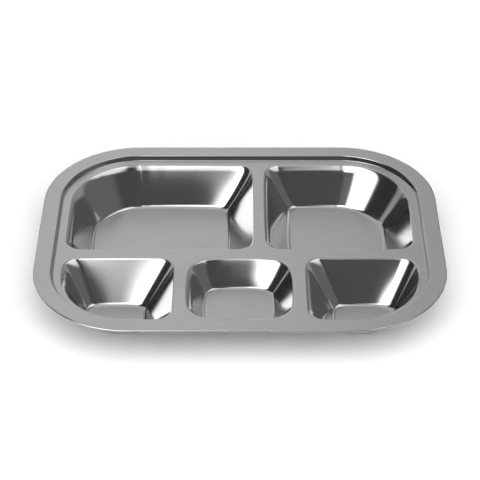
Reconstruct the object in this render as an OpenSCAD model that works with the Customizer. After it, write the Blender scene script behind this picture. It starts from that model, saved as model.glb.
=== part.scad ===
// Five-compartment meal tray, pressed from one sheet of stainless steel.
// Each formed region of the sheet is one node, and neighbouring regions meet face to face.
// +X runs to the right, +Y to the back, +Z up. The origin is on the table, under the middle of the tray.

/* [Sheet] */
// Length of the tray from side to side
tray_w = 340; // [320:1:380]
// Length of the tray from front to back
tray_d = 260; // [245:1:300]
// Plan radius of the tray's outer corners
tray_corner_r = 81; // [75:0.5:95]
// Thickness of the steel sheet
sheet = 0.6; // [0.4:0.05:1]

/* [Rim] */
// Width of the flat flange round the tray, rounded edge included
flange_w = 13.4; // [9:0.1:16]
// Width of the outermost strip, which carries the rounded edge
edge_w = 2; // [1:0.1:4]
// Drop from the flange to the deck
step_h = 4; // [3.5:0.1:7]
// Plan width of the step between flange and deck
step_run = 3.6; // [3.2:0.1:6]
// Radius of the bend at the top of the step
step_top_r = 2; // [1.2:0.1:2.4]
// Radius of the bend at the foot of the step
step_foot_r = 1.2; // [0.8:0.1:1.6]

/* [Deck] */
// Flat deck between the step and the wells, at both sides
side_margin = 5; // [4:0.1:9]
// Flat deck between the step and the wells, at the back
back_margin = 5.5; // [4:0.1:9]
// Flat deck between the step and the wells, at the front
front_margin = 1; // [0.6:0.1:4]
// Difference between the deck's corner radius and that of the well corners beside it
corner_margin = 6; // [5.5:0.1:8]
// Width of the divider that crosses the tray from side to side
cross_divider_w = 10; // [6:0.1:16]
// Width of the divider between the two back wells
back_divider_w = 7; // [5:0.1:14]
// Distance from the middle of the tray to the right, to the middle of that divider
back_divider_offset = 16.5; // [0:0.5:30]
// Width of the two dividers between the front wells
front_divider_w = 8; // [5:0.1:12]
// Length of the front wells at the deck, from front to back
front_well_d = 82; // [78:0.5:92]
// Width of the front centre well at the deck
centre_well_w = 90; // [80:1:100]

/* [Wells] */
// Depth of the four deep wells below the deck
deep_h = 31; // [24:0.5:36]
// Depth of the front centre well below the deck
shallow_h = 19.5; // [14:0.5:26]
// Radius of the bend from the deck into a well
lip_r = 4; // [2:0.1:5]
// Radius of the bend from a wall into the floor
floor_bend_r = 4; // [2:0.1:5]
// Plan width of the back wells' walls next to the rim
back_rim_run = 21.5; // [17:0.5:25]
// Plan width of the back wells' walls next to their divider
back_divider_run = 23; // [18:0.5:26]
// Plan width of the front wells' walls next to the rim
front_rim_run = 22.5; // [18:0.5:24]
// Plan width of the front wells' walls next to a divider
front_divider_run = 24.5; // [18:0.5:26]
// Plan width of the front centre well's four walls
centre_run = 16; // [12:0.5:20]

/* [Well corners] */
// Plan radius, at the floor, of the back wells' corners that follow the tray's own corners
back_floor_corner_r = 40; // [24:0.5:44]
// Plan radius, at the floor, of the front wells' corners that follow the tray's own corners
front_floor_corner_r = 25; // [14:0.5:26]
// Plan radius, at the deck, of all other well corners
inner_corner_r = 13; // [10:0.5:16]
// Plan radius, at the floor, of all other well corners
inner_floor_corner_r = 9; // [6:0.5:10]

/* [Hidden] */

// Finish of the flat regions and of the drawn walls
satin_steel = "silver";
polished_steel = "darkgray";

// Facets of a bend, of a well's tight corners, of its wide corner and of the rounded edge
bend_steps = 6;
tight_steps = 8;
wide_steps = 18;
edge_steps = 8;
$fn = 96;

// Flat margin of a floor that is pressed with the wall, and its share that the floor plate covers
floor_lap = 2;
lap_share = 0.5;

// Largest share of a well's shorter side for a wide corner, and of the rest for a tight corner
wide_share = 0.9;
tight_share = 0.95;

// Least share of a floor corner's radius that is left where the floor's margin is set in
margin_corner_share = 0.2;

// Heights of the upper surface: deck and flange stand above the deep wells' underside at zero
deck_z = deep_h + sheet;
flange_z = deck_z + step_h;

// Inset of the deck's edge from the tray's edge, and radius of the well corners inside its corners
deck_inset = flange_w + step_run;
outer_corner_r = tray_corner_r - deck_inset - corner_margin;

// Edges of the wells at the deck
wells_x = tray_w / 2 - deck_inset - side_margin;
wells_back = tray_d / 2 - deck_inset - back_margin;
wells_front = -tray_d / 2 + deck_inset + front_margin;
cross_front = wells_front + front_well_d;
cross_back = cross_front + cross_divider_w;
back_divider_left = back_divider_offset - back_divider_w / 2;
back_divider_right = back_divider_offset + back_divider_w / 2;
centre_x = centre_well_w / 2;
corner_well_x = centre_x + front_divider_w;

// A well holds its box at the deck, its walls' runs, its corner radii at the deck and at the floor,
// its depth and the facets of its corners. Boxes and runs go left, right, front, back.
// Corners go back right, back left, front left, front right.
function short_side(box) = min(box[1] - box[0], box[3] - box[2]);
function inset_box(box, runs, share) = [
    box[0] + runs[0] * share,
    box[1] - runs[1] * share,
    box[2] + runs[2] * share,
    box[3] - runs[3] * share
];
function wide_r(r, box) = min(r, short_side(box) * wide_share);
function tight_r(r, beside, box) = min(r, (short_side(box) - beside) * tight_share);
function corner_radii(box, tight, wide, wide_corner) = let (
    large = wide_corner < 0 ? short_side(box) / 2 : wide_r(wide, box),
    small = tight_r(tight, large, box)
) [for (k = [0:3]) k == wide_corner ? large : small];
function make_well(box, runs, wide_floor_r, depth, wide_corner) = [
    box,
    runs,
    corner_radii(box, inner_corner_r, outer_corner_r, wide_corner),
    corner_radii(inset_box(box, runs, 1), inner_floor_corner_r, wide_floor_r, wide_corner),
    depth,
    [for (k = [0:3]) k == wide_corner ? wide_steps : tight_steps]
];
function well_depth(well) = well[4];
function well_tight_r(well) = min(well[2]);
function row_tight_r(row) = min([for (well = row) well_tight_r(well)]);
function mean_run(well) = (well[1][0] + well[1][1] + well[1][2] + well[1][3]) / 4;

back_left = make_well(
    [-wells_x, back_divider_left, cross_back, wells_back],
    [back_rim_run, back_divider_run, back_rim_run, back_rim_run],
    back_floor_corner_r, deep_h, 1
);
back_right = make_well(
    [back_divider_right, wells_x, cross_back, wells_back],
    [back_divider_run, back_rim_run, back_rim_run, back_rim_run],
    back_floor_corner_r, deep_h, 0
);
front_left = make_well(
    [-wells_x, -corner_well_x, wells_front, cross_front],
    [front_rim_run, front_divider_run, front_rim_run, front_divider_run],
    front_floor_corner_r, deep_h, 2
);
front_centre = make_well(
    [-centre_x, centre_x, wells_front, cross_front],
    [centre_run, centre_run, centre_run, centre_run],
    inner_floor_corner_r, shallow_h, -1
);
front_right = make_well(
    [corner_well_x, wells_x, wells_front, cross_front],
    [front_divider_run, front_rim_run, front_rim_run, front_divider_run],
    front_floor_corner_r, deep_h, 3
);
wells = [back_left, back_right, front_left, front_centre, front_right];

// Lines at the end of the wells' corner roundings, where the cross divider gives way to the others
cross_back_end = cross_back + row_tight_r([back_left, back_right]);
cross_front_end = cross_front - row_tight_r([front_left, front_centre, front_right]);

// Quarter turn about a centre, starting at the given angle
function quarter(centre, r, start, steps) = [
    for (k = [0:steps]) centre + r * [cos(start + 90 * k / steps), sin(start + 90 * k / steps)]
];

// Rectangle with a radius of its own at each corner, anticlockwise
function rounded_outline(box, radii, steps) = concat(
    quarter([box[1] - radii[0], box[3] - radii[0]], radii[0], 0, steps[0]),
    quarter([box[0] + radii[1], box[3] - radii[1]], radii[1], 90, steps[1]),
    quarter([box[0] + radii[2], box[2] + radii[2]], radii[2], 180, steps[2]),
    quarter([box[1] - radii[3], box[2] + radii[3]], radii[3], 270, steps[3])
);

// Outline of a well at a share of its walls' runs: 0 at the deck, 1 at the floor
function well_outline(well, share) = rounded_outline(
    inset_box(well[0], well[1], share),
    [for (k = [0:3]) well[2][k] + (well[3][k] - well[2][k]) * share],
    well[5]
);

// Outline of a well's floor, set in by a margin of its own
function floor_outline(well, margin) = rounded_outline(
    inset_box(inset_box(well[0], well[1], 1), [margin, margin, margin, margin], 1),
    [for (r = well[3]) max(r - margin, r * margin_corner_share)],
    well[5]
);

// Slope of the straight stretch between two bends that together span a run and a drop
function wall_slope(run, drop, r_top, r_foot) = let (
    bends = r_top + r_foot,
    rise = drop - bends,
    stretch = sqrt(run * run + rise * rise - bends * bends)
) atan2(rise, run) + atan2(bends, stretch);

// Section of a drawn wall as points of inset and drop, at a depth below the sheet's upper face
function wall_section(run, drop, r_top, r_foot, below) = let (
    slope = wall_slope(run, drop, r_top, r_foot)
) concat(
    [
        for (k = [0:bend_steps]) let (turn = slope * k / bend_steps)
            [(r_top - below) * sin(turn), r_top - (r_top - below) * cos(turn)]
    ],
    [
        for (k = [bend_steps:-1:0]) let (turn = slope * k / bend_steps)
            [run - (r_foot + below) * sin(turn), drop - r_foot + (r_foot + below) * cos(turn)]
    ]
);

// Outline of a well at an inset: along its walls up to their run, then on its floor
function ring_outline(well, inset, run) =
    inset > run ? floor_outline(well, inset - run) : well_outline(well, inset / run);

function reversed(list) = [for (k = [len(list) - 1:-1:0]) list[k]];

// Tray outline, set in from the outer edge by the same amount all round
module tray_plan(inset) {
    r = tray_corner_r - inset;
    square([tray_w - 2 * inset, tray_d - 2 * tray_corner_r], center = true);
    square([tray_w - 2 * tray_corner_r, tray_d - 2 * inset], center = true);
    for (x = [-1, 1], y = [-1, 1])
        translate([x * (tray_w / 2 - tray_corner_r), y * (tray_d / 2 - tray_corner_r)])
            circle(r);
}

// Section of inset and height carried along the tray's four sides and round its four corners
module rim_sweep(section) {
    for (turn = [0, 1]) {
        side = turn == 0 ? tray_w : tray_d;
        reach = turn == 0 ? tray_d : tray_w;
        for (half = [0, 180])
            rotate(half + 90 * turn)
                translate([side / 2 - tray_corner_r, -reach / 2, 0])
                    rotate([90, 0, -90])
                        linear_extrude(height = side - 2 * tray_corner_r)
                            polygon([for (p = section) [-p[0], p[1]]]);
    }
    for (x = [-1, 1], y = [-1, 1])
        translate([x * (tray_w / 2 - tray_corner_r), y * (tray_d / 2 - tray_corner_r), 0])
            rotate(x > 0 ? (y > 0 ? 0 : 270) : (y > 0 ? 90 : 180))
                rotate_extrude(angle = 90)
                    polygon([for (p = section) [tray_corner_r - p[0], p[1]]]);
}

// Flat region of the deck inside a box of left, right, front and back, with the wells cut out
module deck_region(box) {
    translate([0, 0, deck_z - sheet])
        linear_extrude(height = sheet)
            difference() {
                translate([box[0], box[2]])
                    square([box[1] - box[0], box[3] - box[2]]);
                for (well = wells)
                    polygon(well_outline(well, 0));
            }
}

// Straight divider between two neighbouring wells, with the roundings of their corners, over a length in Y
module divider_between(left_well, right_well, front, back) {
    deck_region([
        left_well[0][1] - well_tight_r(left_well),
        right_well[0][0] + well_tight_r(right_well),
        front,
        back
    ]);
}

// Drawn wall of a well as one closed ring: lip, slope, bend into the floor, and back along the underside
module well_wall(well) {
    run = mean_run(well);
    upper = wall_section(run, well_depth(well), lip_r, floor_bend_r, 0);
    under = wall_section(run, well_depth(well), lip_r, floor_bend_r, sheet);
    upper_end = [run + floor_lap, well_depth(well)];
    under_end = [run + floor_lap, well_depth(well) + sheet];
    section = concat(upper, [upper_end, under_end], reversed(under));
    rings = len(section);
    ring = len(well_outline(well, 0));
    points = [
        for (p = section) for (q = ring_outline(well, p[0], run)) [q[0], q[1], deck_z - p[1]]
    ];
    faces = [
        for (j = [0:rings - 1]) for (i = [0:ring - 1]) let (
            here = j * ring,
            next = (j + 1) % rings * ring,
            along = (i + 1) % ring
        ) each [
            [here + i, next + i, here + along],
            [next + i, next + along, here + along]
        ]
    ];
    polyhedron(points = points, faces = faces, convexity = 6);
}

// A whole well: its wall and the flat plate of its floor
module pressed_well(well) {
    union() {
        well_wall(well);
        translate([0, 0, deck_z - well_depth(well) - sheet])
            linear_extrude(height = sheet)
                polygon(floor_outline(well, floor_lap * lap_share));
    }
}

// Outermost strip of the flange, with its trimmed edge rounded over the sheet's whole thickness
module rim_edge() {
    edge_r = sheet / 2;
    section = concat(
        [[edge_w, flange_z], [edge_w, flange_z - sheet]],
        [
            for (k = [0:edge_steps]) let (turn = -90 - 180 * k / edge_steps)
                [edge_r + edge_r * cos(turn), flange_z - edge_r + edge_r * sin(turn)]
        ]
    );
    color(satin_steel) rim_sweep(section);
}

// Flat flange between the rounded edge and the step
module rim_flange() {
    color(satin_steel)
        translate([0, 0, flange_z - sheet])
            linear_extrude(height = sheet)
                difference() {
                    tray_plan(edge_w);
                    tray_plan(flange_w);
                }
}

// Step from the flange down to the deck
module rim_step() {
    upper = wall_section(step_run, step_h, step_top_r, step_foot_r, 0);
    under = wall_section(step_run, step_h, step_top_r, step_foot_r, sheet);
    section = [for (p = concat(upper, reversed(under))) [flange_w + p[0], flange_z - p[1]]];
    color(polished_steel) rim_sweep(section);
}

// Flat deck between the step and the block of wells
module deck_border() {
    block = [-wells_x, wells_x, wells_front, wells_back];
    radii = [back_right[2][0], back_left[2][1], front_left[2][2], front_right[2][3]];
    steps = [wide_steps, wide_steps, wide_steps, wide_steps];
    color(satin_steel)
        translate([0, 0, deck_z - sheet])
            linear_extrude(height = sheet)
                difference() {
                    tray_plan(deck_inset);
                    polygon(rounded_outline(block, radii, steps));
                }
}

// Divider between the two rows of wells, with the roundings of the wells' corners along it
module cross_divider() {
    color(satin_steel)
        deck_region([-wells_x, wells_x, cross_front_end, cross_back_end]);
}

// Divider between the two back wells
module back_divider() {
    color(satin_steel) divider_between(back_left, back_right, cross_back_end, wells_back);
}

// Divider between the front left and front centre wells
module front_left_divider() {
    color(satin_steel) divider_between(front_left, front_centre, wells_front, cross_front_end);
}

// Divider between the front centre and front right wells
module front_right_divider() {
    color(satin_steel) divider_between(front_centre, front_right, wells_front, cross_front_end);
}

// Large well at the back left
module back_left_well() {
    color(polished_steel) pressed_well(back_left);
}

// Square well at the back right
module back_right_well() {
    color(polished_steel) pressed_well(back_right);
}

// Deep well at the front left
module front_left_well() {
    color(polished_steel) pressed_well(front_left);
}

// Shallow well at the front, in the middle
module front_centre_well() {
    color(polished_steel) pressed_well(front_centre);
}

// Deep well at the front right
module front_right_well() {
    color(polished_steel) pressed_well(front_right);
}

rim_edge();
rim_flange();
rim_step();
deck_border();
cross_divider();
back_divider();
front_left_divider();
front_right_divider();
back_left_well();
back_right_well();
front_left_well();
front_centre_well();
front_right_well();
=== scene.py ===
"""Looks of a five-compartment meal tray that is pressed from one sheet of stainless steel."""

import logging
import math
from dataclasses import dataclass, field
from enum import Enum
from typing import Iterable

import bmesh
import bpy
from bmesh.types import BMFace
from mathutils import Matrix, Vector


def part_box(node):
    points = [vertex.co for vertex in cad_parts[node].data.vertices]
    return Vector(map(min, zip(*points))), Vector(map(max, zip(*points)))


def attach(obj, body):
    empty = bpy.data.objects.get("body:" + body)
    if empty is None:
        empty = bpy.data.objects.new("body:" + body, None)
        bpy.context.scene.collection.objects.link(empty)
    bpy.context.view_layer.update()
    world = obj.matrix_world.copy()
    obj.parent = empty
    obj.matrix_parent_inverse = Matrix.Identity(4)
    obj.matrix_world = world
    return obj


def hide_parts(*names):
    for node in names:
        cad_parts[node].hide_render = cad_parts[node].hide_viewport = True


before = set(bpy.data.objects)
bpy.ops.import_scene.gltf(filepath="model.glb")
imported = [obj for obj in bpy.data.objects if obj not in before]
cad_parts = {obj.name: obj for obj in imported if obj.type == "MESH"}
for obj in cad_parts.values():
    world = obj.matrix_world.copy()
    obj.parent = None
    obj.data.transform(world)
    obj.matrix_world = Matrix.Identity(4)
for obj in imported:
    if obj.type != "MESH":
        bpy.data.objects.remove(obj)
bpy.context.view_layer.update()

LOG = logging.getLogger("tray")

Feed = bpy.types.NodeSocket | float

BODY = "root"
SHARP_ANGLE = math.radians(40)  # an edge that turns more than this is shaded as a sharp one
BRIDGE_DROP = 0.1  # how far a level hangs below its place while it is bridged
SLOPE_STEPS = 40  # steps in which a wall's slope settles
SIDE_CUTS = 11  # cuts in each straight side of a level
HAIR = 1e-7  # lengths below this count as nothing
BOW_POWER = 3  # how strongly a side's bow gathers at its ends


class Corner(Enum):
    """A corner of a plan, as its direction from the middle: right and back are positive."""

    FRONT_LEFT = (-1, -1)
    FRONT_RIGHT = (1, -1)
    BACK_RIGHT = (1, 1)
    BACK_LEFT = (-1, 1)


class Slot(Enum):
    """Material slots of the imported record."""

    SATIN = "satin_steel"
    POLISHED = "polished_steel"


@dataclass(frozen=True)
class Plan:
    """A rectangle seen from above, with a rounding of its own at each corner.

    Attributes:
        left: Place of the left side.
        right: Place of the right side.
        front: Place of the front side.
        back: Place of the back side.
        radii: Rounding of each corner.
        bow: Angle by which each side turns in at its ends.
    """

    left: float
    right: float
    front: float
    back: float
    radii: dict[Corner, float]
    bow: float = 0.0

    def set_in(
        self, sides: tuple[float, float, float, float], radii: dict[Corner, float], bow: float = 0.0
    ) -> "Plan":
        """Give the plan with its sides moved inwards and new roundings.

        Args:
            sides: Distances for the left, right, front and back side.
            radii: Rounding of each corner.
            bow: Angle by which each side turns in at its ends.

        Returns:
            The smaller plan.
        """
        left, right, front, back = sides
        return Plan(self.left + left, self.right - right, self.front + front, self.back - back, radii, bow)

    def offset(self, inset: float) -> "Plan":
        """Give the parallel plan that lies inside this one at the same distance all round."""
        radii = {corner: radius - inset for corner, radius in self.radii.items()}
        return self.set_in((inset, inset, inset, inset), radii, self.bow)


@dataclass(frozen=True)
class DrawnWall:
    """Section of a drawn wall: a tight lip, a slower shoulder, a slope and a bend at its foot.

    Angles are measured below the level.

    Attributes:
        run: Plan width of the whole wall.
        drop: Height of the whole wall.
        lip_r: Radius of the bend at the top.
        shoulder_r: Radius of the slower bend below it.
        foot_r: Radius of the bend at the foot.
        crown: Angle by which the slope steepens from the shoulder to the foot. It is negative on a hollow
            slope.
        lip_turn: Angle at which the lip goes over into the shoulder.
        segments: Facets of each bend.
        first_share: Share of the first facet that is set apart as a narrow strip, so that the sheet leaves
            the flat above level.
    """

    run: float
    drop: float
    lip_r: float
    shoulder_r: float
    foot_r: float
    crown: float = 0.0
    lip_turn: float = math.radians(36)
    segments: int = 10
    first_share: float = 0.1

    def slope(self) -> float:
        """Find the mean angle of the slope, which the bends and the whole size fix.

        Returns:
            The angle below the level.
        """
        slope = math.atan2(self.drop, self.run)
        for _ in range(SLOPE_STEPS):
            inset, depth = self.below_lip(slope - self.crown / 2)
            foot_inset, foot_depth = self.above_foot(slope + self.crown / 2)
            slope = math.atan2(foot_depth - depth, foot_inset - inset)
        return slope

    def ends(self) -> tuple[float, float]:
        """Give the angles of the slope at the shoulder and at the foot."""
        slope = self.slope()
        return slope - self.crown / 2, slope + self.crown / 2

    def below_lip(self, angle: float) -> tuple[float, float]:
        """Give how far the upper bends have come at an angle.

        Args:
            angle: Angle of the sheet below the level.

        Returns:
            How far in and how far down.
        """
        lip = min(angle, self.lip_turn)
        inset = self.lip_r * math.sin(lip) + self.shoulder_r * (math.sin(angle) - math.sin(lip))
        depth = self.lip_r * (1 - math.cos(lip)) + self.shoulder_r * (math.cos(lip) - math.cos(angle))
        return inset, depth

    def above_foot(self, angle: float) -> tuple[float, float]:
        """Give how far in and how far down the bend at the foot is at an angle."""
        return self.run - self.foot_r * math.sin(angle), self.drop - self.foot_r * (1 - math.cos(angle))

    def upper_turn(self, depth: float) -> float:
        """Give the angle of the upper bends at a depth.

        Args:
            depth: Depth below the flat above.

        Returns:
            The angle below the level.
        """
        lip_depth = self.below_lip(self.lip_turn)[1]
        if depth <= lip_depth:
            return math.acos(1 - depth / self.lip_r)
        return math.acos(math.cos(self.lip_turn) - (depth - lip_depth) / self.shoulder_r)

    def foot_turn(self, depth: float) -> float:
        """Give the angle of the bend at the foot at a depth."""
        return math.acos(min(1.0, 1 - (self.drop - depth) / self.foot_r))

    def inset_at(self, depth: float) -> float:
        """Give how far in the wall is at a depth.

        Args:
            depth: Depth below the flat above.

        Returns:
            The inset from the wall's upper line.
        """
        top, bottom = self.ends()
        start, high = self.below_lip(top)
        end, low = self.above_foot(bottom)
        if depth <= high:
            return self.below_lip(self.upper_turn(depth))[0]
        if depth >= low:
            return self.above_foot(self.foot_turn(depth))[0]
        share = (depth - high) / (low - high)
        swell = math.tan(self.slope()) / math.tan(top) - 1
        return start + (end - start) * (share + swell * share * (1 - share))

    def drawn_at(self, depth: float) -> float:
        """Give how strongly the sheet is drawn at a depth.

        Args:
            depth: Depth below the flat above.

        Returns:
            A share that grows along the lip, is 1 on the wall and fades along the foot.
        """
        bottom = self.ends()[1]
        if depth >= self.above_foot(bottom)[1]:
            return self.foot_turn(depth) / bottom
        if depth <= self.below_lip(self.lip_turn)[1]:
            return self.upper_turn(depth) / self.lip_turn
        return 1.0

    def depths(self) -> list[float]:
        """Give the depths of the section's lines, from the flat above to the flat below.

        Returns:
            The depths, close together in the bends.
        """
        top, bottom = self.ends()
        high, low = self.below_lip(top)[1], self.above_foot(bottom)[1]
        facets = [0.0, self.first_share / self.segments]
        facets += [step / self.segments for step in range(1, self.segments + 1)]
        lip = [self.below_lip(self.lip_turn * share)[1] for share in facets]
        shoulder = [self.below_lip(self.lip_turn + (top - self.lip_turn) * share)[1] for share in facets[2:]]
        slope = [high + (low - high) * share for share in facets[2:-1]] if self.crown else []
        foot = [self.above_foot(bottom * share)[1] for share in reversed(facets)]
        return lip + shoulder + slope + foot


class PressedMesh:
    """A mesh that grows as rounded levels, each bridged to the one before."""

    def __init__(self, segments: dict[Corner, int], wide_corner: Corner | None = None) -> None:
        """Start an empty mesh.

        Args:
            segments: Facets of each corner's rounding.
            wide_corner: Corner in which the drawn sheet gathers into slight waves.
        """
        self.bm = bmesh.new()
        self.segments = segments
        self.wide_corner = wide_corner
        self.drawn = self.bm.verts.layers.float.new("drawn")
        self.gathered = self.bm.verts.layers.float.new("gathered")
        self.origin = self.bm.verts.layers.float_vector.new("draw_origin")
        self.origins: list[Vector] = []
        self.face: BMFace | None = None

    def level(self, plan: Plan, height: float, drawn: float) -> None:
        """Add a level and bridge it to the one before.

        The level hangs well below its place while it is bridged, so that the two lines face each other.

        Args:
            plan: Outline of the level.
            height: Its height above the table.
            drawn: How strongly the sheet is drawn there, from 0 to 1.
        """
        face = self.outline(plan, height - BRIDGE_DROP)
        self.bow_sides(face, plan.bow)
        self.origins = self.origins or [vert.co.copy() for vert in face.verts]
        for vert, origin in zip(face.verts, self.origins):
            vert[self.drawn] = drawn
            vert[self.origin] = origin
        if self.face:
            edges = list(self.face.edges) + list(face.edges)
            bmesh.ops.delete(self.bm, geom=[self.face], context="FACES_ONLY")
            bmesh.ops.bridge_loops(self.bm, edges=edges)
        for vert in face.verts:
            vert.co.z = height
        self.face = face

    def outline(self, plan: Plan, height: float) -> BMFace:
        """Make the face of a level with its rounded corners.

        Args:
            plan: Outline of the level.
            height: Height of the face.

        Returns:
            The face.
        """
        verts = bmesh.ops.create_grid(self.bm, x_segments=1, y_segments=1, size=0.5)["verts"]
        middle = Vector(((plan.left + plan.right) / 2, (plan.front + plan.back) / 2, height))
        bmesh.ops.scale(self.bm, verts=verts, vec=(plan.right - plan.left, plan.back - plan.front, 1))
        bmesh.ops.translate(self.bm, verts=verts, vec=middle)
        for corner, radius in plan.radii.items():
            across, along = corner.value
            vert = next(
                v for v in verts
                if v.is_valid and (v.co.x - middle.x) * across > 0 and (v.co.y - middle.y) * along > 0
            )
            rounded = bmesh.ops.bevel(
                self.bm, geom=[vert], offset=radius, offset_type="OFFSET", affect="VERTICES",
                segments=self.segments[corner], profile=0.5, material=-1, clamp_overlap=False,
            )
            for vert in rounded["verts"]:
                vert[self.gathered] = float(corner is self.wide_corner)
        return rounded["verts"][0].link_faces[0]

    def bow_sides(self, face: BMFace, bow: float) -> None:
        """Cut the straight sides of a level, and let each side curve in from its middle to its ends.

        The curve runs on through the corners, so that a side goes over into them without a crease.

        Args:
            face: Face of the level.
            bow: Angle by which each side turns from its middle to its ends.
        """
        runs = [(edge, edge.verts[1].co - edge.verts[0].co) for edge in face.edges]
        straight = [edge for edge, run in runs if min(abs(run.x), abs(run.y)) < HAIR]
        middle = face.calc_center_bounds()
        half_x = max(abs(vert.co.x - middle.x) for vert in face.verts)
        half_y = max(abs(vert.co.y - middle.y) for vert in face.verts)
        bmesh.ops.subdivide_edges(self.bm, edges=straight, cuts=SIDE_CUTS)
        bulge = math.tan(bow) / BOW_POWER
        for vert in face.verts:
            across = (vert.co.x - middle.x) / half_x
            along = (vert.co.y - middle.y) / half_y
            vert.co.x -= bulge * half_y * across * abs(along) ** BOW_POWER
            vert.co.y -= bulge * half_x * along * abs(across) ** BOW_POWER

    def close_ring(self) -> None:
        """Join the last level to the first, which makes a closed ring of one section."""
        self.open_last()
        bmesh.ops.bridge_loops(self.bm, edges=[edge for edge in self.bm.edges if edge.is_boundary])

    def open_last(self) -> None:
        """Take away the face inside the last level."""
        bmesh.ops.delete(self.bm, geom=[self.face], context="FACES_ONLY")

    def thicken(self, sheet: float) -> None:
        """Give the surface the sheet's thickness on its underside.

        Args:
            sheet: Thickness of the sheet.
        """
        bmesh.ops.recalc_face_normals(self.bm, faces=self.bm.faces[:])
        if sum(face.normal.z * face.calc_area() for face in self.bm.faces) < 0:
            bmesh.ops.reverse_faces(self.bm, faces=self.bm.faces[:])
        bmesh.ops.solidify(self.bm, geom=self.bm.faces[:], thickness=sheet)

    def piece(self, name: str) -> bpy.types.Object:
        """Turn the mesh into an object with smooth faces and sharp cut edges.

        Args:
            name: Name of the object and its mesh.

        Returns:
            The object, at the origin.
        """
        bmesh.ops.recalc_face_normals(self.bm, faces=self.bm.faces[:])
        for face in self.bm.faces:
            face.smooth = True
        for edge in self.bm.edges:
            edge.smooth = edge.calc_face_angle(0) < SHARP_ANGLE
        mesh = bpy.data.meshes.new(name)
        self.bm.to_mesh(mesh)
        self.bm.free()
        piece = bpy.data.objects.new(name, mesh)
        bpy.context.scene.collection.objects.link(piece)
        return piece


class NodeSheet:
    """Short calls that lay out the nodes of one tree."""

    def __init__(self, tree: bpy.types.NodeTree) -> None:
        """Take the tree to lay out.

        Args:
            tree: Tree of a material, a node group or the world.
        """
        self.tree = tree

    def add(self, kind: str, **settings: object) -> bpy.types.Node:
        """Add a node and set its own properties.

        Args:
            kind: Type name of the node.
            settings: Values of its properties.

        Returns:
            The node.
        """
        node = self.tree.nodes.new(kind)
        for name, value in settings.items():
            setattr(node, name, value)
        return node

    def feed(self, socket: bpy.types.NodeSocket, value: Feed) -> None:
        """Link another node's output to a socket, or set a plain value on it.

        Args:
            socket: Input of a node.
            value: What it takes.
        """
        if isinstance(value, bpy.types.NodeSocket):
            self.tree.links.new(value, socket)
        else:
            socket.default_value = value

    def math(self, operation: str, *values: Feed) -> bpy.types.NodeSocket:
        """Add one Math node.

        Args:
            operation: Name of the operation.
            values: What it works on, in order.

        Returns:
            The result.
        """
        node = self.add("ShaderNodeMath", operation=operation)
        for socket, value in zip(node.inputs, values):
            self.feed(socket, value)
        return node.outputs["Value"]

    def ramp(
        self, value: Feed, start: Feed, end: Feed, low: Feed = 0.0, high: Feed = 1.0
    ) -> bpy.types.NodeSocket:
        """Give a smooth rise from one value to another.

        Args:
            value: What drives the rise.
            start: Driving value where the rise begins.
            end: Driving value where it ends.
            low: Result before the rise.
            high: Result after it.

        Returns:
            The result.
        """
        node = self.add("ShaderNodeMapRange", interpolation_type="SMOOTHSTEP")
        values = {"Value": value, "From Min": start, "From Max": end, "To Min": low, "To Max": high}
        for name, feed in values.items():
            self.feed(node.inputs[name], feed)
        return node.outputs["Result"]

    def noise(self, vector: Feed, stretch: tuple[float, float, float], detail: float) -> bpy.types.NodeSocket:
        """Add a noise with its own density along each axis.

        Args:
            vector: Where the noise is read.
            stretch: Marks per metre along each axis.
            detail: Octaves of the noise.

        Returns:
            The noise, from 0 to 1.
        """
        mapping = self.add("ShaderNodeMapping")
        self.feed(mapping.inputs["Vector"], vector)
        mapping.inputs["Scale"].default_value = stretch
        noise = self.add("ShaderNodeTexNoise")
        self.feed(noise.inputs["Vector"], mapping.outputs["Vector"])
        noise.inputs["Scale"].default_value = 1
        noise.inputs["Detail"].default_value = detail
        return noise.outputs["Fac"]

    def attribute(self, name: str) -> bpy.types.Node:
        """Add a node that reads an attribute of the piece."""
        return self.add("ShaderNodeAttribute", attribute_name=name)

    def group(self, tree: bpy.types.NodeTree, **values: Feed) -> bpy.types.Node:
        """Place a node group.

        Args:
            tree: The group.
            values: What its inputs take, by name.

        Returns:
            The group's node.
        """
        node = self.add("ShaderNodeGroup", node_tree=tree)
        for name, value in values.items():
            self.feed(node.inputs[name], value)
        return node


def new_group(name: str, inputs: dict[str, str], outputs: dict[str, str]) -> NodeSheet:
    """Start a shader node group.

    Args:
        name: Name of the group.
        inputs: Socket type of each input, by name.
        outputs: Socket type of each output, by name.

    Returns:
        A sheet on the group's tree, with its two end nodes in place.
    """
    tree = bpy.data.node_groups.new(name, "ShaderNodeTree")
    for socket, kind in inputs.items():
        tree.interface.new_socket(socket, in_out="INPUT", socket_type=kind)
    for socket, kind in outputs.items():
        tree.interface.new_socket(socket, in_out="OUTPUT", socket_type=kind)
    sheet = NodeSheet(tree)
    sheet.add("NodeGroupInput", name="ends_in")
    sheet.add("NodeGroupOutput", name="ends_out")
    return sheet


@dataclass(frozen=True)
class RolledGrain:
    """Fine lines that the mill's rolls leave along the sheet.

    Attributes:
        along: Lines per metre along the sheet.
        across: Lines per metre across it.
        detail: Octaves of the noise.
    """

    along: float = 60
    across: float = 1400
    detail: float = 3

    def group(self) -> bpy.types.NodeTree:
        """Build the group.

        Returns:
            The group, whose output is the grain from 0 to 1.
        """
        sheet = new_group("rolled_grain", {"Vector": "NodeSocketVector"}, {"Grain": "NodeSocketFloat"})
        vector = sheet.tree.nodes["ends_in"].outputs["Vector"]
        grain = sheet.noise(vector, (self.along, self.across, self.across), self.detail)
        sheet.feed(sheet.tree.nodes["ends_out"].inputs["Grain"], grain)
        return sheet.tree


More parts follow.
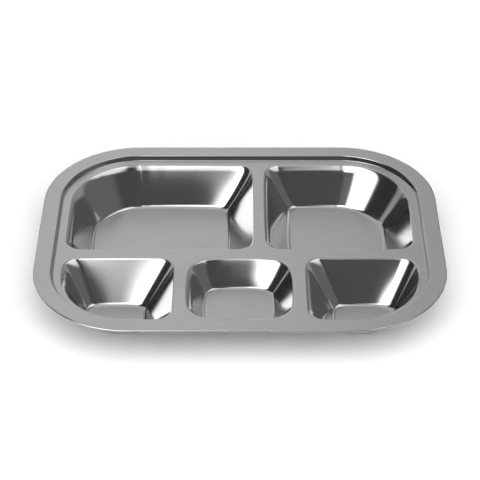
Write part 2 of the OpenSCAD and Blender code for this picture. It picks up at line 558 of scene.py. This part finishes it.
@dataclass(frozen=True)
class HandlingMarks:
    """Faint smudges that handling leaves on the satin steel.

    Attributes:
        density: Smudges per metre.
        detail: Octaves of the noise.
        start: Noise value at which a smudge begins.
        end: Noise value at which it is full.
    """

    density: float = 28
    detail: float = 4
    start: float = 0.5
    end: float = 0.72

    def group(self) -> bpy.types.NodeTree:
        """Build the group.

        Returns:
            The group, whose output is the smudges as a mask.
        """
        sheet = new_group("handling_marks", {"Vector": "NodeSocketVector"}, {"Mask": "NodeSocketFloat"})
        vector = sheet.tree.nodes["ends_in"].outputs["Vector"]
        noise = sheet.noise(vector, (self.density, self.density, self.density), self.detail)
        mask = sheet.ramp(noise, self.start, self.end)
        sheet.feed(sheet.tree.nodes["ends_out"].inputs["Mask"], mask)
        return sheet.tree


@dataclass(frozen=True)
class Steel:
    """A finish of the steel sheet.

    Attributes:
        name: Name of the material.
        tone: Base colour, the same in red, green and blue.
        grain_tone: Change of tone by the grain.
        grain_low: Grain value that gives the darkest tone.
        grain_high: Grain value that gives the lightest.
        flat_roughness: Roughness where the sheet is flat.
        mark_roughness: Roughness that a smudge adds there.
        bright_from: How strongly the sheet is drawn where it is first fully bright.
        drawn_roughness: Roughness of the bright sheet.
        streak_roughness: Roughness that a draw streak adds there.
        streaks: Draw streaks per metre round a wall.
        streak_detail: Octaves of the streaks' noise.
        grain_height: Height of the grain where the sheet is flat.
        waves: Draw waves per metre round a wide corner.
        wave_detail: Octaves of the waves' noise.
        wave_height: Height of the draw waves in the wide corner.
        wave_fade: Power by which they fade along the walls beside it.
    """

    name: str
    tone: float = 0.62
    grain_tone: float = 0.01
    grain_low: float = 0.3
    grain_high: float = 0.7
    flat_roughness: float = 0.34
    mark_roughness: float = 0.06
    bright_from: float = 0.3
    drawn_roughness: float = 0.1
    streak_roughness: float = 0.03
    streaks: float = 160
    streak_detail: float = 2
    grain_height: float = 0.0000006
    waves: float = 50
    wave_detail: float = 1
    wave_height: float = 0.0006
    wave_fade: float = 8

    def material(self, grain: bpy.types.NodeTree, marks: bpy.types.NodeTree) -> bpy.types.Material:
        """Build the material.

        Args:
            grain: The group of the rolled grain.
            marks: The group of the handling marks.

        Returns:
            The material.
        """
        material = bpy.data.materials.new(self.name)
        material.use_nodes = True
        sheet = NodeSheet(material.node_tree)
        shader = sheet.tree.nodes["Principled BSDF"]
        shader.inputs["Metallic"].default_value = 1
        place = sheet.add("ShaderNodeTexCoord").outputs["Object"]
        rolled = sheet.group(grain, Vector=place).outputs["Grain"]
        smudge = sheet.group(marks, Vector=place).outputs["Mask"]
        drawn = sheet.attribute("drawn").outputs["Fac"]
        origin = sheet.attribute("draw_origin").outputs["Vector"]
        streak = sheet.noise(origin, (self.streaks, self.streaks, self.streaks), self.streak_detail)
        tone = sheet.ramp(
            rolled, self.grain_low, self.grain_high, self.tone - self.grain_tone, self.tone + self.grain_tone
        )
        flat = sheet.math("MULTIPLY_ADD", smudge, self.mark_roughness, self.flat_roughness)
        bright = sheet.math("MULTIPLY_ADD", streak, self.streak_roughness, self.drawn_roughness)
        rough = sheet.ramp(drawn, 0.0, self.bright_from, flat, bright)
        sheet.feed(shader.inputs["Base Color"], tone)
        sheet.feed(shader.inputs["Roughness"], rough)
        wave = sheet.noise(origin, (self.waves, self.waves, self.waves), self.wave_detail)
        corner = sheet.math("POWER", sheet.attribute("gathered").outputs["Fac"], self.wave_fade)
        gathered = sheet.math("MULTIPLY", corner, drawn)
        flattened = sheet.math("MULTIPLY", rolled, sheet.math("SUBTRACT", 1.0, drawn))
        waved = sheet.math("MULTIPLY", sheet.math("MULTIPLY", wave, gathered), self.wave_height)
        bump = sheet.add("ShaderNodeBump")
        bump.inputs["Distance"].default_value = 1  # the heights are in metres
        sheet.feed(bump.inputs["Height"], sheet.math("MULTIPLY_ADD", flattened, self.grain_height, waved))
        sheet.feed(shader.inputs["Normal"], bump.outputs["Normal"])
        return material


def dress(piece: bpy.types.Object, material: bpy.types.Material) -> None:
    """Give a piece one material, in place of any that it has."""
    piece.data.materials.clear()
    piece.data.materials.append(material)


def seat(piece: bpy.types.Object, node: str) -> None:
    """Let a new piece stand for a node of the frame and move with its body.

    Args:
        piece: The new piece.
        node: Name of the node.
    """
    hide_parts(node)
    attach(piece, BODY)
    LOG.info("%s stands for %s: %d faces", piece.name, node, len(piece.data.polygons))


@dataclass
class Rim:
    """The rim: a flat flange with an edge turned down outside and a step down to the deck inside.

    Attributes:
        corner_r: Plan radius of the outer corners.
        edge_r: Bend of the outer edge, which is turned straight down.
        step_collar: Width of the flat strips above and below the step.
        step_top_r: Bend at the top of the step.
        step_foot_r: Bend at its foot.
        corner_segments: Facets of a corner.
        edge_segments: Facets of the turned edge.
        pieces: The edge and the step, once they are built.
    """

    corner_r: float = 0.081
    edge_r: float = 0.0012
    step_collar: float = 0.0004
    step_top_r: float = 0.0009
    step_foot_r: float = 0.0007
    corner_segments: int = 64
    edge_segments: int = 12
    pieces: list[bpy.types.Object] = field(default_factory=list)

    def build(self) -> None:
        """Build the turned edge and the step, from the frame's flange and deck."""
        low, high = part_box("rim_edge")
        outline = Plan(low.x, high.x, low.y, high.y, {corner: self.corner_r for corner in Corner})
        flange_low, flange_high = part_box("rim_flange")
        sheet = flange_high.z - flange_low.z
        segments = {corner: self.corner_segments for corner in Corner}
        self.pieces.append(self.edge(outline, flange_high.x, flange_high.z, sheet, segments))
        step_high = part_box("rim_step")[1]
        deck_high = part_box("deck_border")[1]
        wall = DrawnWall(
            step_high.x - deck_high.x - 2 * self.step_collar, step_high.z - deck_high.z,
            self.step_top_r, self.step_top_r, self.step_foot_r,
        )
        mesh = PressedMesh(segments)
        mesh.level(outline.offset(high.x - step_high.x), step_high.z, 0)
        start = high.x - step_high.x + self.step_collar
        for depth in wall.depths():
            inset = start + wall.inset_at(depth)
            mesh.level(outline.offset(inset), step_high.z - depth, wall.drawn_at(depth))
        mesh.level(outline.offset(high.x - deck_high.x), deck_high.z, 0)
        mesh.open_last()
        mesh.thicken(sheet)
        self.pieces.append(mesh.piece("pressed_step"))

    def edge(
        self, outline: Plan, flange_x: float, top: float, sheet: float, segments: dict[Corner, int]
    ) -> bpy.types.Object:
        """Build the outermost strip, whose edge is turned down.

        Args:
            outline: Plan of the tray.
            flange_x: Right end of the flat flange, where the strip begins.
            top: Height of the flange's upper face.
            sheet: Thickness of the sheet.
            segments: Facets of each corner.

        Returns:
            The piece.
        """
        mesh = PressedMesh(segments)
        width = outline.right - flange_x
        turns = [math.pi / 2 * step / self.edge_segments for step in range(self.edge_segments + 1)]
        mesh.level(outline.offset(width), top, 0)
        for radius, along in ((self.edge_r, turns), (self.edge_r - sheet, turns[::-1])):
            for turn in along:
                inset = self.edge_r - radius * math.sin(turn)
                mesh.level(outline.offset(inset), top - self.edge_r + radius * math.cos(turn), math.sin(turn))
        mesh.level(outline.offset(width), top - sheet, 0)
        mesh.close_ring()
        return mesh.piece("turned_edge")

    def dress(self, satin: bpy.types.Material, polished: bpy.types.Material) -> None:
        """Dress the rim's pieces and the flange that the frame carries.

        Args:
            satin: Material of the flat sheet.
            polished: Material of the drawn sheet.
        """
        edge, step = self.pieces
        seat(edge, "rim_edge")
        dress(edge, satin)
        seat(step, "rim_step")
        dress(step, polished)
        dress(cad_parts["rim_flange"], satin)


@dataclass
class Deck:
    """The flat deck and the dividers, which the frame carries.

    Attributes:
        nodes: Names of their nodes.
    """

    nodes: tuple[str, ...] = (
        "deck_border", "cross_divider", "back_divider", "front_left_divider", "front_right_divider",
    )

    def dress(self, satin: bpy.types.Material) -> None:
        """Dress the flat regions."""
        for node in self.nodes:
            dress(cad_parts[node], satin)


@dataclass
class Well:
    """A drawn well.

    Attributes:
        node: Node of the frame that the well stands for.
        runs: Plan widths of its left, right, front and back wall.
        wide_corner: The corner that follows the tray's own corner.
        wide_r: Plan radius of that corner at the deck.
        wide_floor_r: Plan radius of that corner at the floor.
        tight_r: Plan radius of the other corners at the deck.
        tight_floor_r: Plan radius of the other corners at the floor.
        collar: Width of the flat strip between the deck and the lip.
        lip_r: Bend from the deck into the well.
        shoulder_r: Slower bend at the top of the front and back wall.
        crown: Angle by which the front and back wall steepen from the shoulder to the foot.
        left_shoulder_r: Slower bend at the top of the left wall.
        right_shoulder_r: Slower bend at the top of the right wall.
        right_crown: Angle by which the right wall, which is slightly hollow, steepens towards its foot.
        foot_r: Bend from the walls into the floor.
        margin: Width of the flat strip round the floor.
        lip_bow: Angle by which the walls' ends turn in at the lip.
        bow: Angle by which they turn in at the floor.
        waist: Angle that this bow loses half-way down.
        wide_segments: Facets of the wide corner.
        tight_segments: Facets of the other corners.
        piece: The well, once it is built.
    """

    node: str
    runs: tuple[float, float, float, float]
    wide_corner: Corner | None = None
    wide_r: float = 0.058
    wide_floor_r: float = 0.025
    tight_r: float = 0.013
    tight_floor_r: float = 0.006
    collar: float = 0.0004
    lip_r: float = 0.0012
    shoulder_r: float = 0.018
    crown: float = 0.0
    left_shoulder_r: float = 0.018
    right_shoulder_r: float = 0.003
    right_crown: float = math.radians(-6)
    foot_r: float = 0.0045
    margin: float = 0.0004
    lip_bow: float = math.radians(2)
    bow: float = math.radians(13)
    waist: float = 0.0
    wide_segments: int = 48
    tight_segments: int = 24
    piece: bpy.types.Object | None = None

    def radii(self, share: float) -> dict[Corner, float]:
        """Give the corner radii part of the way down.

        Args:
            share: Share of the way from the deck to the floor.

        Returns:
            The radius of each corner.
        """
        return {
            corner: self.wide_r + (self.wide_floor_r - self.wide_r) * share
            if corner is self.wide_corner
            else self.tight_r + (self.tight_floor_r - self.tight_r) * share
            for corner in Corner
        }

    def bow_at(self, share: float) -> float:
        """Give the bow at a share of the way from the deck to the floor."""
        return self.lip_bow + (self.bow - self.lip_bow) * share - 4 * self.waist * share * (1 - share)

    def walls(self, drop: float) -> list[DrawnWall]:
        """Give the sections of the left, right, front and back wall.

        Args:
            drop: Height of the walls.

        Returns:
            The four sections.
        """
        left, right, front, back = self.runs
        return [
            DrawnWall(left, drop, self.lip_r, self.left_shoulder_r, self.foot_r),
            DrawnWall(right, drop, self.lip_r, self.right_shoulder_r, self.foot_r, self.right_crown),
            DrawnWall(front, drop, self.lip_r, self.shoulder_r, self.foot_r, self.crown),
            DrawnWall(back, drop, self.lip_r, self.shoulder_r, self.foot_r, self.crown),
        ]

    def build(self) -> None:
        """Build the well in the opening that its node leaves in the deck.

        The levels lie at the depths of the left, right and back wall's lines, and each wall has its own inset
        there.
        """
        low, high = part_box(self.node)
        flange_low, flange_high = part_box("rim_flange")
        sheet = flange_high.z - flange_low.z
        opening = Plan(low.x, high.x, low.y, high.y, self.radii(0))
        lip = opening.offset(self.collar)
        walls = self.walls(high.z - low.z - sheet)
        segments = {
            corner: self.wide_segments if corner is self.wide_corner else self.tight_segments
            for corner in Corner
        }
        mesh = PressedMesh(segments, self.wide_corner)
        mesh.level(opening, high.z, 0)
        left, right, _, back = walls
        for depth in sorted({depth for wall in (left, right, back) for depth in wall.depths()}):
            sides = tuple(wall.inset_at(depth) for wall in walls)
            share = sum(sides) / sum(self.runs)
            plan = lip.set_in(sides, self.radii(share), self.bow_at(share))
            mesh.level(plan, high.z - depth, back.drawn_at(depth))
        floor = lip.set_in(self.runs, self.radii(1), self.bow)
        mesh.level(floor.offset(self.margin), low.z + sheet, 0)
        mesh.thicken(sheet)
        self.piece = mesh.piece("pressed_" + self.node)

    def dress(self, polished: bpy.types.Material) -> None:
        """Dress the well."""
        seat(self.piece, self.node)
        dress(self.piece, polished)


def make_wells() -> list[Well]:
    """Set out the five wells with their own wall runs, bends and bows.

    Returns:
        The wells, from the back left to the front right.
    """
    back_floor_r = 0.040
    front_shoulder_r = 0.004
    front_crown = math.radians(-3)
    return [
        Well(
            "back_left_well", (0.0215, 0.0247, 0.0215, 0.0245), Corner.BACK_LEFT,
            wide_floor_r=back_floor_r, crown=math.radians(5), right_crown=math.radians(-9),
            waist=math.radians(3),
        ),
        Well(
            "back_right_well", (0.0240, 0.0233, 0.0215, 0.0245), Corner.BACK_RIGHT,
            wide_floor_r=back_floor_r, lip_bow=math.radians(4), bow=math.radians(10),
            waist=math.radians(3),
        ),
        Well(
            "front_left_well", (0.0225, 0.0268, 0.0225, 0.0266), Corner.FRONT_LEFT,
            shoulder_r=front_shoulder_r, right_crown=front_crown, bow=math.radians(16),
        ),
        Well(
            "front_centre_well", (0.016, 0.0177, 0.016, 0.018), lip_r=0.0025, shoulder_r=front_shoulder_r,
            crown=math.radians(6), right_crown=math.radians(-4), foot_r=0.003,
            lip_bow=math.radians(20), bow=math.radians(23), waist=math.radians(4),
        ),
        Well(
            "front_right_well", (0.0254, 0.0225, 0.0225, 0.0270), Corner.FRONT_RIGHT,
            shoulder_r=front_shoulder_r, right_crown=front_crown, bow=math.radians(20),
        ),
    ]


@dataclass(frozen=True)
class SoftPanel:
    """A soft-edged panel of light on the studio's dome, in degrees.

    Attributes:
        azimuth: Bearing of its middle: 0 is towards the camera, and right is positive.
        width: Its width.
        side_soft: Half the width of the soft edge at its sides.
        elevation: Height angle of its middle.
        height: Its height.
        end_soft: Half the width of the soft edge at its top and bottom.
        level: Its brightness.
    """

    azimuth: float
    width: float
    side_soft: float
    elevation: float
    height: float
    end_soft: float
    level: float

    def glow(
        self, sheet: NodeSheet, azimuth: bpy.types.NodeSocket, elevation: bpy.types.NodeSocket
    ) -> bpy.types.NodeSocket:
        """Lay out the panel's nodes.

        Args:
            sheet: The world's sheet.
            azimuth: Bearing of the ray, in radians.
            elevation: Height angle of the ray, in radians.

        Returns:
            The panel's light.
        """
        turned = sheet.math("SUBTRACT", azimuth, math.radians(self.azimuth))
        beside = sheet.math("ABSOLUTE", sheet.math("WRAP", turned, math.pi, -math.pi))
        above = sheet.math("ABSOLUTE", sheet.math("SUBTRACT", elevation, math.radians(self.elevation)))
        across = self.fade(sheet, beside, self.width, self.side_soft)
        along = self.fade(sheet, above, self.height, self.end_soft)
        return sheet.math("MULTIPLY", sheet.math("MULTIPLY", across, along), self.level)

    def fade(
        self, sheet: NodeSheet, offset: bpy.types.NodeSocket, size: float, soft: float
    ) -> bpy.types.NodeSocket:
        """Let the light fall to nothing over the soft edge."""
        return sheet.ramp(offset, math.radians(size / 2 - soft), math.radians(size / 2 + soft), 1.0, 0.0)


@dataclass
class Studio:
    """Camera, floor and light.

    Attributes:
        elevation: Height angle from which the camera looks at the middle of the flange.
        distance: Distance from that point to the camera.
        aim_drop: Angle by which the camera aims below that point.
        lens: Focal length on a sensor of the given width, in millimetres.
        sensor: Width of the sensor, in millimetres.
        floor_size: Side of the floor.
        floor_tone: Base colour of the floor.
        floor_roughness: Roughness of the floor.
        background: Brightness of the background.
        dome: Brightness of the soft light on the floor, at its middle.
        dome_tilt: Angle by which that light leans from overhead towards the camera.
        dome_focus: Power of the cosine by which it fades to its sides.
        ambient: Brightness of the unlit parts of the room.
        panels: Panels that the steel mirrors.
    """

    elevation: float = math.radians(36.46)
    distance: float = 1.4107
    aim_drop: float = math.radians(0.27)
    lens: float = 125.25
    sensor: float = 36.0
    floor_size: float = 24.0
    floor_tone: float = 0.7
    floor_roughness: float = 0.9
    background: float = 1.0
    dome: float = 5.4
    dome_tilt: float = math.radians(33)
    dome_focus: float = 4
    ambient: float = 0.04
    panels: tuple[SoftPanel, ...] = (
        # Key light, low part.
        SoftPanel(azimuth=-46, width=44, side_soft=3, elevation=29, height=15, end_soft=3, level=2.0),
        # Key light, high part.
        SoftPanel(azimuth=-36, width=62, side_soft=4, elevation=53.5, height=34, end_soft=3, level=2.4),
        # Strip beside the key.
        SoftPanel(azimuth=0, width=12, side_soft=4, elevation=58, height=23, end_soft=4, level=0.9),
        # Overhead light.
        SoftPanel(azimuth=0, width=400, side_soft=4, elevation=90, height=44, end_soft=8, level=0.62),
        # High light on the right.
        SoftPanel(azimuth=76, width=84, side_soft=8, elevation=62, height=26, end_soft=5, level=1.1),
        # Faint wall far right.
        SoftPanel(azimuth=88, width=76, side_soft=10, elevation=34, height=56, end_soft=8, level=0.08),
        # Wall behind on the left.
        SoftPanel(azimuth=-146, width=76, side_soft=4, elevation=36, height=60, end_soft=12, level=0.5),
        # Wall behind on the right.
        SoftPanel(azimuth=152, width=74, side_soft=12, elevation=36, height=60, end_soft=12, level=0.3),
        # Faint front wall on the right.
        SoftPanel(azimuth=54, width=136, side_soft=6, elevation=20, height=60, end_soft=10, level=0.05),
    )

    def build(self) -> None:
        """Build the camera, the floor and the light."""
        self.camera()
        self.floor()
        self.light()

    def camera(self) -> None:
        """Place the camera in front of the tray, looking down on it."""
        data = bpy.data.cameras.new("camera")
        data.lens, data.sensor_width = self.lens, self.sensor
        data.dof.use_dof = False
        camera = bpy.data.objects.new("camera", data)
        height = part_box("rim_flange")[1].z
        camera.location = (
            0, -self.distance * math.cos(self.elevation), height + self.distance * math.sin(self.elevation)
        )
        camera.rotation_euler = (math.pi / 2 - self.elevation - self.aim_drop, 0, 0)
        bpy.context.scene.collection.objects.link(camera)
        bpy.context.scene.camera = camera

    def floor(self) -> None:
        """Lay the pale floor under the tray."""
        bm = bmesh.new()
        bmesh.ops.create_grid(bm, x_segments=1, y_segments=1, size=self.floor_size / 2)
        mesh = bpy.data.meshes.new("floor")
        bm.to_mesh(mesh)
        bm.free()
        floor = bpy.data.objects.new("floor", mesh)
        bpy.context.scene.collection.objects.link(floor)
        material = bpy.data.materials.new("pale_floor")
        material.use_nodes = True
        shader = material.node_tree.nodes["Principled BSDF"]
        shader.inputs["Base Color"].default_value = (self.floor_tone, self.floor_tone, self.floor_tone, 1)
        shader.inputs["Roughness"].default_value = self.floor_roughness
        dress(floor, material)

    def light(self) -> None:
        """Light the tray with the panels, and the floor with an even dome.

        Reflections see the panels, the floor's own diffuse light comes from the dome, and the camera sees a
        plain pale background.
        """
        world = bpy.data.worlds.new("studio")
        world.use_nodes = True
        world.cycles.sampling_method = "NONE"
        bpy.context.scene.world = world
        bpy.context.scene.view_settings.view_transform = "Standard"
        sheet = NodeSheet(world.node_tree)
        direction = sheet.add("ShaderNodeTexCoord").outputs["Generated"]
        parts = sheet.add("ShaderNodeSeparateXYZ")
        sheet.feed(parts.inputs["Vector"], direction)
        forward = sheet.math("MULTIPLY", parts.outputs["Y"], -1.0)
        azimuth = sheet.math("ARCTAN2", parts.outputs["X"], forward)
        elevation = sheet.math("ARCSINE", parts.outputs["Z"])
        level: Feed = self.ambient
        for panel in self.panels:
            level = sheet.math("ADD", panel.glow(sheet, azimuth, elevation), level)
        path = sheet.add("ShaderNodeLightPath")
        towards = sheet.add("ShaderNodeVectorMath", operation="DOT_PRODUCT")
        sheet.feed(towards.inputs[0], direction)
        towards.inputs[1].default_value = (0, -math.sin(self.dome_tilt), math.cos(self.dome_tilt))
        facing = sheet.math("MAXIMUM", towards.outputs["Value"], 0.0)
        dome = sheet.math("MULTIPLY", sheet.math("POWER", facing, self.dome_focus), self.dome)
        mirrored = sheet.ramp(path.outputs["Is Glossy Ray"], 0.0, 1.0, dome, level)
        shown = sheet.ramp(path.outputs["Is Camera Ray"], 0.0, 1.0, mirrored, self.background)
        sheet.feed(sheet.tree.nodes["Background"].inputs["Color"], shown)


def main() -> None:
    """Build and dress the tray, then the studio round it."""
    logging.basicConfig(level=logging.INFO, format="%(name)s: %(message)s")
    grain = RolledGrain().group()
    marks = HandlingMarks().group()
    satin = Steel("satin_steel").material(grain, marks)
    polished = Steel("polished_steel").material(grain, marks)
    rim = Rim()
    rim.build()
    rim.dress(satin, polished)
    Deck().dress(satin)
    for well in make_wells():
        well.build()
        well.dress(polished)
    Studio().build()


if __name__ == "__main__":
    main()
